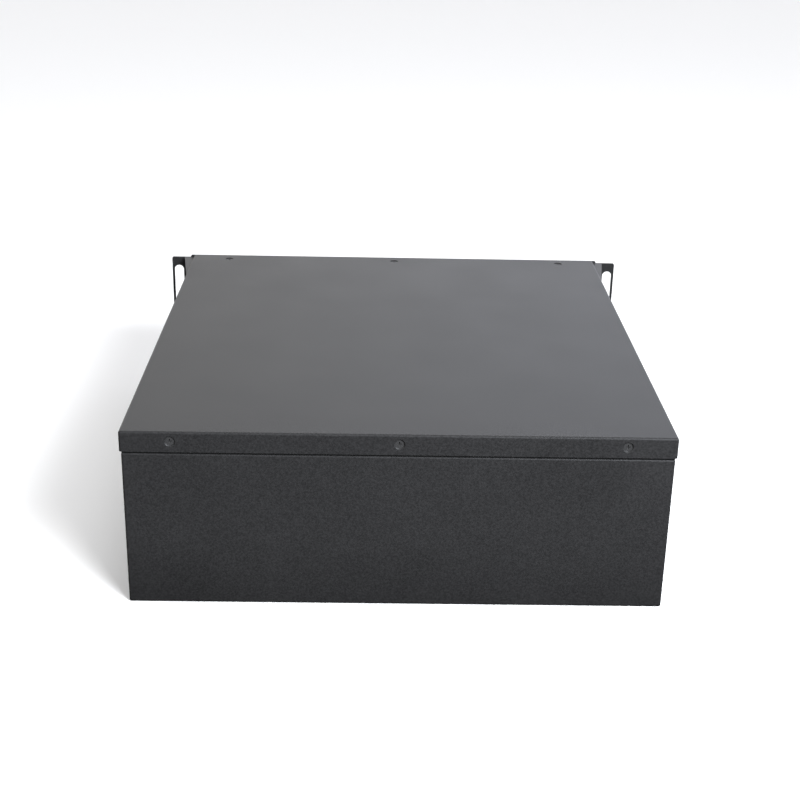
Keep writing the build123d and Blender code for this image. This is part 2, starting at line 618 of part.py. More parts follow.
def terminal_block(x):
    """Insulating base through the panel, with the middle knuckle of the cover's hinge."""
    face = FRONT - TERMINAL_PROUD
    block = centred((x, TERMINAL_Z), TERMINAL_SIZE, (face, FRONT), 2.0)
    block = fillet(block.faces().sort_by(Axis.Y)[0].edges(), 1.0)
    block += centred((x, TERMINAL_Z), (22.0, 30.0), (FRONT, BLOCK_BACK), 2.0)
    block += span(about(x, 15.0), (HINGE_Y - 3.0, FRONT - 1.5), (TERMINAL_Z + 20.0, HINGE_Z))
    block += rod((x - 7.5, HINGE_Y, HINGE_Z), RIGHT, 3.0, 15.0)
    block -= rod((x - 7.5, HINGE_Y, HINGE_Z), RIGHT, HINGE_PIN + 0.02, 15.0)
    return block - rod((x, face, TERMINAL_Z), BACK, STUD_RADIUS, 30.0)


def terminal_cover(x):
    """A hood over the stud, open at the bottom for the cable, hung from its top edge."""
    half = TERMINAL_SIZE[0] / 2 + 0.3 + COVER_WALL
    low, high = TERMINAL_Z - TERMINAL_SIZE[1] / 2 + 1.0, TERMINAL_Z + TERMINAL_SIZE[1] / 2 + 2.6
    front, back = FRONT - 31.0, FRONT - 0.8
    hood = span(about(x, 2 * half), (front, back), (low, high))
    hood = fillet(hood.edges().filter_by(Axis.X).group_by(Axis.Y)[0].sort_by(Axis.Z)[-1], 4.0)
    hood = fillet(hood.faces().sort_by(Axis.Y)[0].edges().filter_by(Axis.Z), 2.0)
    inner = 2 * (half - COVER_WALL)
    cavity = span(about(x, inner), (front + COVER_WALL, back), (low, high - COVER_WALL))
    hood -= fillet(cavity.edges().filter_by(Axis.X).group_by(Axis.Y)[0].sort_by(Axis.Z)[-1], 2.0)
    hood -= span(about(x, inner), (HINGE_Y - 3.8, back), (low, high))
    for start in (x - half, x + 7.8):
        width = half - 7.8
        knuckle = rod((start, HINGE_Y, HINGE_Z), RIGHT, 3.0, width)
        knuckle += span((start, start + width), (HINGE_Y - 6.5, HINGE_Y), (high - COVER_WALL, HINGE_Z))
        hood += knuckle
    for side in (-1, 1):
        wall = sorted((x + side * half, x + side * (half - COVER_WALL)))
        hood += span(wall, (HINGE_Y - 3.0, HINGE_Y + 3.0), (high - 4.0, HINGE_Z))
    return hood - rod((x - half, HINGE_Y, HINGE_Z), RIGHT, HINGE_PIN + 0.06, 2 * half)


def terminals():
    """Main terminals: blocks, studs, nuts behind them, hinged covers and hinge pins."""
    studs, nuts, pins = [], [], []
    for pole, x in TERMINAL_X.items():
        save(f"terminal_block_{pole}", terminal_block(x))
        save(f"terminal_cover_{pole}", terminal_cover(x))
        seat = (x, FRONT - TERMINAL_PROUD, TERMINAL_Z)
        studs.append(collared_stud(seat, STUD_RADIUS, STUD_FREE, STUD_COLLAR, 13.0, STUD_BURIED))
        nuts.append(flange_nut((x, BLOCK_BACK, TERMINAL_Z), BACK, 13.0, STUD_RADIUS, 5.5))
        pins.append(rod((x - 15.0, HINGE_Y, HINGE_Z), RIGHT, HINGE_PIN, 30.0))
    save("terminal_studs", *studs)
    save("terminal_nuts", *nuts)
    save("terminal_cover_pins", *pins)


def ground_point():
    x, z = GROUND
    buried = PANEL_THICK + 6.0
    save("ground_stud", collared_stud((x, FRONT, z), GROUND_RADIUS, GROUND_FREE, GROUND_COLLAR, 10.0, buried))
    save("ground_nut", flange_nut((x, PANEL_BACK, z), BACK, 10.0, GROUND_RADIUS, 5.0))


# ---- inside -------------------------------------------------------------------------------
def cell_middles(row):
    first = -(CELLS_IN_ROW - 1) / 2 * CELL_PITCH
    return [(first + number * CELL_PITCH, ROW_Y[row]) for number in range(CELLS_IN_ROW)]


def cell(x, y):
    """A prismatic cell can with its pressure vent on top."""
    can = span(about(x, CELL[0]), about(y, CELL[1]), (CELL_FLOOR, CELL_TOP))
    can = fillet(can.edges().filter_by(Axis.Z), 3.0)
    vent = Pos(x, y, CELL_TOP) * extrude(SlotOverall(22.0, 12.0, rotation=90), 0.5)
    return can + vent


def cell_stack():
    """Both rows of cells with what holds and joins them."""
    for row in ROW_Y:
        save(f"cells_{row}_row", *(cell(x, y) for x, y in cell_middles(row)))
    middles = cell_middles("front") + cell_middles("rear")
    poles = [(x, y + end * POLE_OFFSET) for x, y in middles for end in (-1, 1)]
    posts = [
        rod((x, y, CELL_TOP), UP, POST_RADIUS, POST_HEIGHT)
        + rod((x, y, CELL_TOP), UP, CELL_STUD, CELL_STUD_TOP - CELL_TOP)
        for x, y in poles
    ]
    save("cell_terminals", *posts)
    nut_base = BUSBAR_TOP
    save("busbar_nuts", *(flange_nut((x, y, nut_base), UP, 10.0, CELL_STUD + 0.02, 4.4) for x, y in poles))
    spacers = []
    for row in ROW_Y:
        for x, y in cell_middles(row)[:-1]:
            edge = x + CELL[0] / 2
            spacers.append(span((edge, edge + SPACER), about(y, CELL[1] - 4), (CELL_FLOOR, CELL_TOP - 2)))
    gap = (ROW_Y["front"] + CELL[1] / 2, ROW_Y["rear"] - CELL[1] / 2)
    spacers.append(span((-PACK_X, PACK_X), gap, (CELL_FLOOR, CELL_TOP - 2)))
    save("cell_spacers", *spacers)
    save("busbars", *busbars())
    cell_clamps()


def busbar(start, end):
    """A flat bar between two cell poles, with a hole over each."""
    x, y = (about((start[i] + end[i]) / 2, abs(start[i] - end[i]) + BUSBAR_WIDTH) for i in (0, 1))
    bar = span(x, y, (BUSBAR_TOP - BUSBAR_THICK, BUSBAR_TOP))
    bar = fillet(bar.edges().filter_by(Axis.Z), 4.0)
    for px, py in (start, end):
        bar -= rod((px, py, BUSBAR_TOP), DOWN, CELL_STUD + 0.2, BUSBAR_THICK)
    return bar


def busbars():
    """All the cells in series: along the front row, across, and back along the rear row."""
    bars = []
    for row, flip in (("front", -1), ("rear", 1)):
        middles = cell_middles(row)
        for number in range(CELLS_IN_ROW - 1):
            side = flip if number % 2 == 0 else -flip
            y = middles[number][1] + side * POLE_OFFSET
            bars.append(busbar((middles[number][0], y), (middles[number + 1][0], y)))
    x = cell_middles("front")[0][0]
    bars.append(busbar((x, ROW_Y["front"] + POLE_OFFSET), (x, ROW_Y["rear"] - POLE_OFFSET)))
    return bars


def cell_clamps():
    """End plates with feet, tie bands, base pad and the insulating sheet on top."""
    row = (PACK_FRONT, PACK_REAR)
    plates = []
    for side in (-1, 1):
        upright = sorted((side * PACK_X, side * (PACK_X + END_PLATE)))
        foot = sorted((side * PACK_X, side * (WALL_X - 1.0)))
        wall = span(upright, row, (SHEET, CELL_TOP))
        plates.append(wall + span(foot, (row[0] + 4, row[1] - 4), (SHEET, SHEET + END_PLATE)))
    save("end_plates", *plates)
    reach = PACK_X + END_PLATE
    bands = []
    for z in BANDS_Z:
        level = (z, z + BAND[1])
        outer = span((-reach - BAND[0], reach + BAND[0]), (row[0] - BAND[0], row[1] + BAND[0]), level)
        bands.append(outer - span((-reach, reach), row, level))
    save("tie_bands", *bands)
    save("base_pad", span((-PACK_X, PACK_X), row, (SHEET, CELL_FLOOR)))
    sheet = span((-reach, PACK_X - CELL[0] + 12.0), row, (CELL_STUD_TOP, CELL_STUD_TOP + 1.0))
    save("top_insulation", fillet(sheet.edges().filter_by(Axis.Z), 6.0))


def electronics():
    """Battery management board on its heat sink, interface board, fuse and power cables."""
    depth = (BOARD_FRONT, BOARD_FRONT + BOARD_THICK)
    board = plate((-172.0, 8.0), (24.0, 92.0), depth, 2.0)
    board += centred((-40.0, 107.0), (54.0, 42.0), depth, 2.0)
    board -= centred(ROCKER, (19.6, 25.6), depth, 1.0)
    pieces = [board]
    for x, z in (*BUTTONS, RESET):
        switch = (PANEL_BACK + 5.5 + BUTTON_TRAVEL + 1.0, BOARD_FRONT)
        pieces.append(span(about(x, 6.0), switch, about(z, 6.0)))
    save("interface_board", *pieces)

    sink_back = PACK_FRONT - 6.0
    plate_back = sink_back - 12.0
    base = span((-BMS_SINK_X, BMS_SINK_X), (plate_back - 6.0, plate_back), (SHEET, BMS_TOP))
    for number in range(25):
        x = (number - 12) * 12.0
        base += span(about(x, 2.0), (plate_back, sink_back), (SHEET, BMS_TOP))
    save("bms_heatsink", base)
    board_back = sink_back - 18.0 - 4.0
    pcb = span((-145.0, 145.0), (board_back - BOARD_THICK, board_back), (12.0, 118.0))
    chips = [pcb]
    for number in range(14):
        x = (number - 6.5) * 19.0
        chips.append(span(about(x, 10.0), (board_back, board_back + 4.0), (20.0, 36.0)))
        chips.append(span(about(x, 10.0), (board_back, board_back + 4.0), (44.0, 60.0)))
    spots = ((-110.0, 24.0, 80.0, 108.0), (-60.0, 14.0, 84.0, 98.0), (10.0, 20.0, 78.0, 98.0))
    for x, wide, low, high in spots:
        chips.append(span(about(x, wide), (board_back - 8.0, board_back - BOARD_THICK), (low, high)))
    save("bms_board", *chips)

    fuse = (cell_middles("front")[-1][0], PACK_FRONT - 42.0)
    body = span(about(fuse[0], 26.0), about(fuse[1], 44.0), (12.0, 38.0))
    body = fillet(body.edges().filter_by(Axis.Z), 4.0)
    tabs = span(about(fuse[0], 18.0), about(fuse[1], 72.0), (24.0, FUSE_TAB))
    holder = span(about(fuse[0], 30.0), about(fuse[1], 76.0), (SHEET, 12.0))
    save("main_fuse", body + tabs, holder)
    save("power_cables", *power_cables(fuse, board_back - BOARD_THICK))


def power_cables(fuse, board_front):
    """Cells to fuse, fuse to breaker, breaker and board to the main terminals, cells to board."""
    x, y = cell_middles("front")[-1]
    above = CELL_STUD_TOP + CABLE_RADIUS + 2.8
    rear_tab, front_tab = fuse[1] + 30.0, fuse[1] - 23.0
    pole = BREAKER[0] + POLES[1]
    breaker_y = PANEL_BACK + 36.0
    breaker_low, breaker_high = about(BREAKER[1], BREAKER_HEIGHT + 0.2)
    low = FUSE_TAB + CABLE_RADIUS + 0.2
    stud_end = FRONT - TERMINAL_PROUD + STUD_BURIED
    plus = (TERMINAL_X["positive"], stud_end, TERMINAL_Z)
    minus = (TERMINAL_X["negative"], board_front, TERMINAL_Z)
    cells_plus = ((x, y + POLE_OFFSET, above), (x, rear_tab, above), (x, rear_tab, FUSE_TAB + 0.1))
    fuse_out = (
        (x, front_tab, low),
        (x, breaker_y, low),
        (pole, breaker_y, low),
        (pole, breaker_y, breaker_low),
    )
    over = ((pole, breaker_y, breaker_high), (pole, breaker_y, above), (plus[0], breaker_y, above))
    down = ((plus[0], breaker_y, TERMINAL_Z), plus)
    rear_pole = ROW_Y["rear"] - POLE_OFFSET
    sink = BMS_SINK_X - 10.0
    cells_minus = ((x, rear_pole, above), (sink, rear_pole, above), (sink, PACK_FRONT - 14.0, above))
    cells_minus += ((sink, PACK_FRONT - 14.0, BMS_TOP + 0.1),)
    return (
        tube(cells_plus, CABLE_RADIUS, 24.0),
        tube(fuse_out, CABLE_RADIUS, (20.0, 9.0)),
        tube(over + down, CABLE_RADIUS, (9.0, 20.0, 9.0)),
        rod(minus, OUT, CABLE_RADIUS, board_front - stud_end),
        tube(cells_minus, CABLE_RADIUS, (18.0, 9.0)),
    )


# ---- the whole pack -----------------------------------------------------------------------
save("case_tray", case_tray())
save("top_cover", top_cover())
save("front_top_rail", front_top_rail())
save("rack_ear_left", rack_ear(-1))
save("rack_ear_right", rack_ear(1))
fasten_sheet_metal()
save("front_panel", front_panel())
save("panel_overlay", panel_overlay())
handles()
display()
board_connectors()
dip_switch()
power_switch()
circuit_breaker()
terminals()
ground_point()
cell_stack()
electronics()
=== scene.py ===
import json
import math

import bmesh
import bpy
from mathutils import Matrix, Vector


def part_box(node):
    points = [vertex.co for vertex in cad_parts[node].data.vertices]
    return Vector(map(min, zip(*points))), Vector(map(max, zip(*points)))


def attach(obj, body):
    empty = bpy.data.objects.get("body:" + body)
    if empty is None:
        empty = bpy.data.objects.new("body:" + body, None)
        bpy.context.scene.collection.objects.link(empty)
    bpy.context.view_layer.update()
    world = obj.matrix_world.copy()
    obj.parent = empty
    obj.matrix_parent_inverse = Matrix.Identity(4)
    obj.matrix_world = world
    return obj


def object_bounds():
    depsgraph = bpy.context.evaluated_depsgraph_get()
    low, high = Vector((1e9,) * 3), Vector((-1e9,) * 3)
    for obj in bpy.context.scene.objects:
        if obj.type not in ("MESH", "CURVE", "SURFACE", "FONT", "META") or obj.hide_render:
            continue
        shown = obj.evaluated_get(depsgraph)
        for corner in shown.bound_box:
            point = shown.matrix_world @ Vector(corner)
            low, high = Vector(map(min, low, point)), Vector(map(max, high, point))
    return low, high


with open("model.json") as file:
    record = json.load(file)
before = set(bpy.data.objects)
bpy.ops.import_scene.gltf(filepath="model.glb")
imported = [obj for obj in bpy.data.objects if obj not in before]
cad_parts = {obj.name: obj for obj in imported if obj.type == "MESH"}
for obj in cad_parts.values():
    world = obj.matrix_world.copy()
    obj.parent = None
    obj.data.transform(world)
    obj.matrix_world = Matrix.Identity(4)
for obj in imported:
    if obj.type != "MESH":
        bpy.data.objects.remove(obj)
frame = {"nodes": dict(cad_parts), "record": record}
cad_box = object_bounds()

MM = 0.001
NODES = frame["nodes"]


# ---- camera, floor and light --------------------------------------------------------------
CAMERA_PLACE = (0.0222, 1.2346, 0.5838)
CAMERA_YAW = 1.2545  # degrees, from looking straight at the rear wall
CAMERA_PITCH = 22.172  # degrees down
CAMERA_ROLL = 1.2663
LENS = 63.022  # focal length in millimetres, on a sensor this wide:
SENSOR = 36
FLOOR_REACH = 9
FLOOR_DROP = 0.2 * MM  # keeps the floor clear of the pack's flat underside
BACKDROP_RADIUS = FLOOR_REACH * 0.95
BACKDROP_HEIGHT = 8
BACKDROP_GLOW = 1.05
SURROUND_BASE = 0.62  # light from all round
SURROUND_GLOW = 1.75  # light added low down in front of the pack
SURROUND_BELOW = 0.12  # share of both that is left under the horizon
LAMP_SIZE = (0.8, 0.5)
LAMP_TARGET = (-0.1, 0.2, 0.1)


def make_camera():
    """The camera stands behind the pack, looks forwards and down, and leans a little."""
    yaw, pitch, roll = (math.radians(a) for a in (CAMERA_YAW, CAMERA_PITCH, CAMERA_ROLL))
    ahead = Vector((-math.sin(yaw) * math.cos(pitch), -math.cos(yaw) * math.cos(pitch), -math.sin(pitch)))
    right = Vector((-math.cos(yaw), math.sin(yaw), 0))
    up = right.cross(ahead)
    right, up = (
        math.cos(roll) * right + math.sin(roll) * up,
        math.cos(roll) * up - math.sin(roll) * right,
    )
    data = bpy.data.cameras.new("camera")
    data.lens = LENS
    data.sensor_width = SENSOR
    data.clip_start, data.clip_end = 0.01, 50
    camera = bpy.data.objects.new("camera", data)
    camera.matrix_world = Matrix.Translation(CAMERA_PLACE) @ Matrix((right, up, -ahead)).transposed().to_4x4()
    bpy.context.scene.collection.objects.link(camera)
    bpy.context.scene.camera = camera


def make_light(name, kind, place, target, watts, colour=(1, 1, 1)):
    data = bpy.data.lights.new(name, kind)
    data.energy = watts
    data.color = colour
    lamp = bpy.data.objects.new(name, data)
    lamp.location = place
    lamp.rotation_euler = (Vector(target) - Vector(place)).to_track_quat("-Z", "Y").to_euler()
    bpy.context.scene.collection.objects.link(lamp)
    return lamp


def make_floor():
    """A pale floor, and far off round it a pale backdrop that only the camera sees.

    The floor takes shadows but is left out of the pack's reflections and bounced light.
    """
    floor_mesh = bpy.data.meshes.new("floor")
    reach = FLOOR_REACH
    corners = [(-reach, -reach, 0), (reach, -reach, 0), (reach, reach, 0), (-reach, reach, 0)]
    floor_mesh.from_pydata(corners, [], [(0, 1, 2, 3)])
    floor = bpy.data.objects.new("floor", floor_mesh)
    floor.location.z = -FLOOR_DROP
    floor.visible_glossy = False
    floor.visible_diffuse = False
    floor_mesh.materials.append(matt_paint("floor_paint", (0.97, 0.97, 0.97)))

    ring = bmesh.new()
    bmesh.ops.create_cone(
        ring, cap_ends=True, segments=96,
        radius1=BACKDROP_RADIUS, radius2=BACKDROP_RADIUS, depth=BACKDROP_HEIGHT,
    )
    backdrop_mesh = bpy.data.meshes.new("backdrop")
    ring.to_mesh(backdrop_mesh)
    ring.free()
    backdrop = bpy.data.objects.new("backdrop", backdrop_mesh)
    backdrop_mesh.materials.append(matt_paint("backdrop_paint", (0, 0, 0), BACKDROP_GLOW))
    for kind in ("diffuse", "glossy", "transmission", "shadow"):
        setattr(backdrop, "visible_" + kind, False)

    for piece in (floor, backdrop):
        bpy.context.scene.collection.objects.link(piece)


def matt_paint(name, colour, glow=0.0):
    """A plain finish for the floor and the backdrop."""
    paint = bpy.data.materials.new(name)
    paint.use_nodes = True
    shader = paint.node_tree.nodes["Principled BSDF"]
    shader.inputs["Base Color"].default_value = (*colour, 1)
    shader.inputs["Roughness"].default_value = 0.8
    shader.inputs["Specular IOR Level"].default_value = 0.1
    shader.inputs["Emission Color"].default_value = (1, 1, 1, 1)
    shader.inputs["Emission Strength"].default_value = glow
    return paint


def make_surround():
    """A studio that is brightest low down in front of the pack, dim overhead and dark below."""
    world = bpy.data.worlds.new("surround")
    world.use_nodes = True
    tree = world.node_tree
    place = tree.nodes.new("ShaderNodeTexCoord")
    split = tree.nodes.new("ShaderNodeSeparateXYZ")
    tree.links.new(place.outputs["Generated"], split.inputs[0])

    def fade(axis, dark, bright):
        """0 to 1 as a direction's part along one axis goes from dark to bright."""
        ramp = tree.nodes.new("ShaderNodeMapRange")
        ramp.interpolation_type = "SMOOTHSTEP"
        ramp.inputs["From Min"].default_value = dark
        ramp.inputs["From Max"].default_value = bright
        tree.links.new(split.outputs[axis], ramp.inputs["Value"])
        return ramp.outputs["Result"]

    def combine(operation, a, b):
        maths = tree.nodes.new("ShaderNodeMath")
        maths.operation = operation
        tree.links.new(a, maths.inputs[0])
        if isinstance(b, float):
            maths.inputs[1].default_value = b
        else:
            tree.links.new(b, maths.inputs[1])
        return maths.outputs[0]

    glow = combine("MULTIPLY", fade("Y", 0.1, -0.85), fade("Z", 0.62, 0.15))
    sideways = combine("ADD", combine("MULTIPLY", fade("X", 0.3, -0.15), 0.5), 0.55)
    glow = combine("MULTIPLY", glow, sideways)
    base = combine("ADD", combine("MULTIPLY", fade("Z", 0.75, 0.25), 0.75), 0.25)
    base = combine("MULTIPLY", base, SURROUND_BASE)
    upper = combine("ADD", combine("MULTIPLY", glow, SURROUND_GLOW), base)
    share = combine("MULTIPLY", fade("Z", -0.12, 0.02), 1 - SURROUND_BELOW)
    strength = combine("MULTIPLY", upper, combine("ADD", share, SURROUND_BELOW))
    tree.links.new(strength, tree.nodes["Background"].inputs["Strength"])
    tint = tree.nodes.new("ShaderNodeMix")
    tint.data_type = "RGBA"
    warm, cool = (1.0, 0.985, 0.97, 1), (0.94, 0.965, 1.06, 1)
    tint.inputs["A"].default_value = warm
    tint.inputs["B"].default_value = cool
    tree.links.new(fade("X", 0.25, -0.25), tint.inputs["Factor"])
    tree.links.new(tint.outputs["Result"], tree.nodes["Background"].inputs["Color"])
    bpy.context.scene.world = world
    bpy.context.scene.view_settings.view_transform = "Standard"


def make_lamps():
    """A soft wash from above, and high at the camera's right a window with a fill light beside it."""
    wash = make_light("wash", "SUN", (0, -0.9, 3), (0, 0, 0), 1.75)
    wash.data.angle = math.radians(60)
    daylight = (0.88, 0.93, 1.0)
    window = make_light("window_light", "AREA", (-1.0, 1.35, 1.3), LAMP_TARGET, 36, daylight)
    fill = make_light("fill_light", "AREA", (-0.85, 1.45, 1.2), LAMP_TARGET, 42)
    for lamp in (window, fill):
        lamp.data.shape = "RECTANGLE"
        lamp.data.size, lamp.data.size_y = LAMP_SIZE
        lamp.visible_camera = False
    for lamp in (wash, fill):
        lamp.visible_glossy = False


# ---- materials ----------------------------------------------------------------------------
class Paint:
    """A procedural material built up node by node."""

    def __init__(self, name):
        self.material = bpy.data.materials.new(name)
        self.material.use_nodes = True
        self.tree = self.material.node_tree
        self.shader = self.tree.nodes["Principled BSDF"]
        self.place = self.node("ShaderNodeTexCoord").outputs["Object"]

    def node(self, kind, **settings):
        made = self.tree.nodes.new(kind)
        for name, value in settings.items():
            setattr(made, name, value)
        return made

    def link(self, source, target):
        self.tree.links.new(source, target)

    def set(self, **values):
        for name, value in values.items():
            self.shader.inputs[name.replace("_", " ")].default_value = value

    def feed(self, socket, source):
        self.link(source, self.shader.inputs[socket])

    def stretched(self, x=1.0, y=1.0, z=1.0):
        """Coordinates squeezed along each axis, for brushed and drawn finishes."""
        made = self.node("ShaderNodeMapping")
        made.inputs["Scale"].default_value = (x, y, z)
        self.link(self.place, made.inputs["Vector"])
        return made.outputs["Vector"]

    def noise(self, size, detail=2.0, roughness=0.5, where=None):
        """Noise whose features are about `size` metres across."""
        made = self.node("ShaderNodeTexNoise")
        made.inputs["Scale"].default_value = 1 / size
        made.inputs["Detail"].default_value = detail
        made.inputs["Roughness"].default_value = roughness
        self.link(where or self.place, made.inputs["Vector"])
        return made.outputs["Fac"]

    def ramp(self, source, low, high, start=0.0, end=1.0):
        """A number or colour that runs from low to high as the source goes from start to end."""
        made = self.node("ShaderNodeMapRange")
        made.inputs["From Min"].default_value = start
        made.inputs["From Max"].default_value = end
        self.link(source, made.inputs["Value"])
        if isinstance(low, tuple):
            return self.mix(made.outputs["Result"], low, high)
        made.inputs["To Min"].default_value = low
        made.inputs["To Max"].default_value = high
        return made.outputs["Result"]

    def mix(self, share, first, second, how="MIX"):
        """Two colours, each a tuple or a node's output, mixed by a share."""
        mixer = self.node("ShaderNodeMix", data_type="RGBA", blend_type=how)
        for socket, value in (("Factor", share), ("A", first), ("B", second)):
            if isinstance(value, tuple):
                mixer.inputs[socket].default_value = (*value, 1)
            elif isinstance(value, float):
                mixer.inputs[socket].default_value = value
            else:
                self.link(value, mixer.inputs[socket])
        return mixer.outputs["Result"]

    def bump(self, source, height, strength=1.0, under=None):
        made = self.node("ShaderNodeBump")
        made.inputs["Distance"].default_value = height
        made.inputs["Strength"].default_value = strength
        self.link(source, made.inputs["Height"])
        if under is not None:
            self.link(under, made.inputs["Normal"])
        return made.outputs["Normal"]

    def edges(self, radius):
        """1 on sharp edges, 0 on flat faces."""
        bevel = self.node("ShaderNodeBevel", samples=4)
        bevel.inputs["Radius"].default_value = radius
        plain = self.node("ShaderNodeNewGeometry")
        dot = self.node("ShaderNodeVectorMath", operation="DOT_PRODUCT")
        self.link(bevel.outputs["Normal"], dot.inputs[0])
        self.link(plain.outputs["Normal"], dot.inputs[1])
        return self.ramp(dot.outputs["Value"], 0.0, 1.0, 0.98, 0.8)

    def times(self, a, b):
        made = self.node("ShaderNodeMath", operation="MULTIPLY")
        self.link(a, made.inputs[0])
        self.link(b, made.inputs[1])
        return made.outputs[0]


def powder_coat(name="powder_coat", dark=(0.015, 0.015, 0.0155), light=(0.036, 0.036, 0.0372)):
    """Dark grey satin powder coat: a fine pebbled skin, uneven in tone, paler on its edges, partly rubbed
    wear and partly a painted edge highlight.

    It is darker towards the foot of the pack, up to a wavy line: painted shade.
    """
    paint = Paint(name)
    fine = paint.noise(0.45 * MM, 2.0, 0.6)
    mottle = paint.noise(1.5 * MM, 3.0, 0.65)
    cloud = paint.noise(70 * MM, 3.0, 0.55)
    broad = paint.ramp(mottle, dark, light, 0.34, 0.66)
    tone = paint.mix(0.3, broad, paint.ramp(fine, dark, light, 0.3, 0.7))
    tone = paint.mix(1.0, tone, paint.ramp(cloud, (0.93,) * 3, (1.07,) * 3, 0.3, 0.7), "MULTIPLY")
    # Painted shade: the coat's colour darkens to 0.74 towards the foot, below a wavy line.
    level = paint.node("ShaderNodeSeparateXYZ")
    paint.link(paint.place, level.inputs[0])
    wavy_shade_line = paint.node("ShaderNodeMath", operation="MULTIPLY_ADD")
    paint.link(cloud, wavy_shade_line.inputs[0])
    wavy_shade_line.inputs[1].default_value = 30 * MM
    paint.link(level.outputs["Z"], wavy_shade_line.inputs[2])
    painted_foot_shade = paint.ramp(wavy_shade_line.outputs[0], (0.74,) * 3, (1.0,) * 3, 15 * MM, 75 * MM)
    tone = paint.mix(1.0, tone, painted_foot_shade, "MULTIPLY")
    # Paler edges: partly rubbed wear, partly a painted edge highlight.
    corners = paint.edges(0.5 * MM)
    paler_edges = paint.times(corners, paint.ramp(paint.noise(6 * MM, 4.0, 0.7), 0.0, 0.7, 0.52, 0.7))
    paint.feed("Base Color", paint.mix(paler_edges, tone, (0.09, 0.09, 0.092)))
    paint.set(Specular_IOR_Level=0.31)
    haze = paint.ramp(cloud, 0.42, 0.46, 0.3, 0.7)
    spread = paint.node("ShaderNodeMath", operation="ADD")
    paint.link(haze, spread.inputs[0])
    paint.link(paint.ramp(mottle, -0.05, 0.05, 0.3, 0.7), spread.inputs[1])
    paint.feed("Roughness", spread.outputs[0])
    peel = paint.bump(mottle, 0.10 * MM, 0.6)
    paint.feed("Normal", paint.bump(fine, 0.03 * MM, 0.5, peel))
    return paint.material


def plastic(name, colour, roughness, grain=0.35 * MM, height=0.012 * MM):
    """Moulded plastic: a fine spark-eroded grain, slight tone change, paler rubbed edges."""
    paint = Paint(name)
    cloud = paint.noise(9 * MM, 3.0)
    dark = tuple(c * 0.9 for c in colour)
    light = tuple(min(1.0, c * 1.1) for c in colour)
    worn = tuple(min(1.0, c * 1.25 + 0.015) for c in colour)
    tone = paint.ramp(cloud, dark, light, 0.3, 0.7)
    corners = paint.edges(0.25 * MM)
    paler_edges = paint.times(corners, paint.ramp(paint.noise(3 * MM, 3.0), 0.1, 0.8, 0.4, 0.7))
    paint.feed("Base Color", paint.mix(paler_edges, tone, worn))
    paint.feed("Roughness", paint.ramp(cloud, roughness * 0.88, min(1.0, roughness * 1.12), 0.3, 0.7))
    paint.feed("Normal", paint.bump(paint.noise(grain), height))
    return paint.material


def metal(name, colour, roughness, brushed=(1.0, 1.0, 1.0)):
    """Bare or plated metal with drawn lines along one axis and a little tarnish."""
    paint = Paint(name)
    lines = paint.noise(0.6 * MM, 3.0, 0.6, paint.stretched(*brushed))
    tarnish = paint.noise(7 * MM, 4.0, 0.6)
    dull = tuple(c * 0.78 for c in colour)
    paint.feed("Base Color", paint.ramp(tarnish, dull, colour, 0.35, 0.6))
    paint.feed("Roughness", paint.ramp(lines, roughness * 0.75, roughness * 1.3, 0.3, 0.7))
    paint.feed("Normal", paint.bump(lines, 0.006 * MM))
    paint.set(Metallic=1.0)
    return paint.material


def film(name, colour):
    """Matt printed polyester film with a fine pebble."""
    paint = Paint(name)
    pebble = paint.noise(0.25 * MM, 2.0)
    cloud = paint.noise(30 * MM, 2.0)
    dark = tuple(c * 0.93 for c in colour)
    light = tuple(c * 1.07 for c in colour)
    paint.feed("Base Color", paint.ramp(cloud, dark, light))
    paint.feed("Roughness", paint.ramp(pebble, 0.42, 0.55, 0.3, 0.7))
    paint.feed("Normal", paint.bump(pebble, 0.01 * MM, 0.6))
    return paint.material


def clear_window():
    """The display's clear cover, faintly smoked."""
    paint = Paint("window")
    smudge = paint.noise(12 * MM, 3.0)
    paint.feed("Roughness", paint.ramp(smudge, 0.03, 0.10, 0.4, 0.7))
    paint.feed("Base Color", paint.ramp(smudge, (0.03, 0.034, 0.036), (0.04, 0.045, 0.048)))
    paint.set(Alpha=0.22)
    return paint.material


def lit_screen():
    """The liquid-crystal panel: grey-green with a faint pixel grid."""
    paint = Paint("screen")
    cells = paint.node("ShaderNodeTexVoronoi", feature="DISTANCE_TO_EDGE")
    cells.inputs["Scale"].default_value = 1 / (0.5 * MM)
    cells.inputs["Randomness"].default_value = 0.0
    paint.link(paint.place, cells.inputs["Vector"])
    grid = paint.ramp(cells.outputs["Distance"], (0.10, 0.125, 0.10), (0.145, 0.18, 0.14), 0.02, 0.12)
    paint.feed("Base Color", grid)
    paint.feed("Roughness", paint.ramp(paint.noise(5 * MM), 0.25, 0.35))
    return paint.material


def lamp_lenses():
    """Milky indicator lenses: four green, then one amber and one red."""
    paint = Paint("lamp")
    split = paint.node("ShaderNodeSeparateXYZ")
    paint.link(paint.place, split.inputs[0])
    low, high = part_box("status_leds")
    gap = (high.x - low.x) / 6
    green, amber, red = (0.10, 0.55, 0.16), (0.75, 0.38, 0.05), (0.65, 0.06, 0.04)
    change = 0.1 * MM
    fifth = low.x + gap * 4.1
    tone = paint.ramp(split.outputs["X"], green, amber, fifth - change, fifth + change)
    last = low.x + gap * 5.1
    share = paint.ramp(split.outputs["X"], 0.0, 1.0, last - change, last + change)
    tone = paint.mix(share, tone, red)
    milk = paint.ramp(paint.noise(1 * MM), (0.85,) * 3, (1.0,) * 3)
    paint.feed("Base Color", paint.mix(1.0, tone, milk, "MULTIPLY"))
    paint.feed("Roughness", paint.ramp(paint.noise(2 * MM), 0.15, 0.28))
    return paint.material


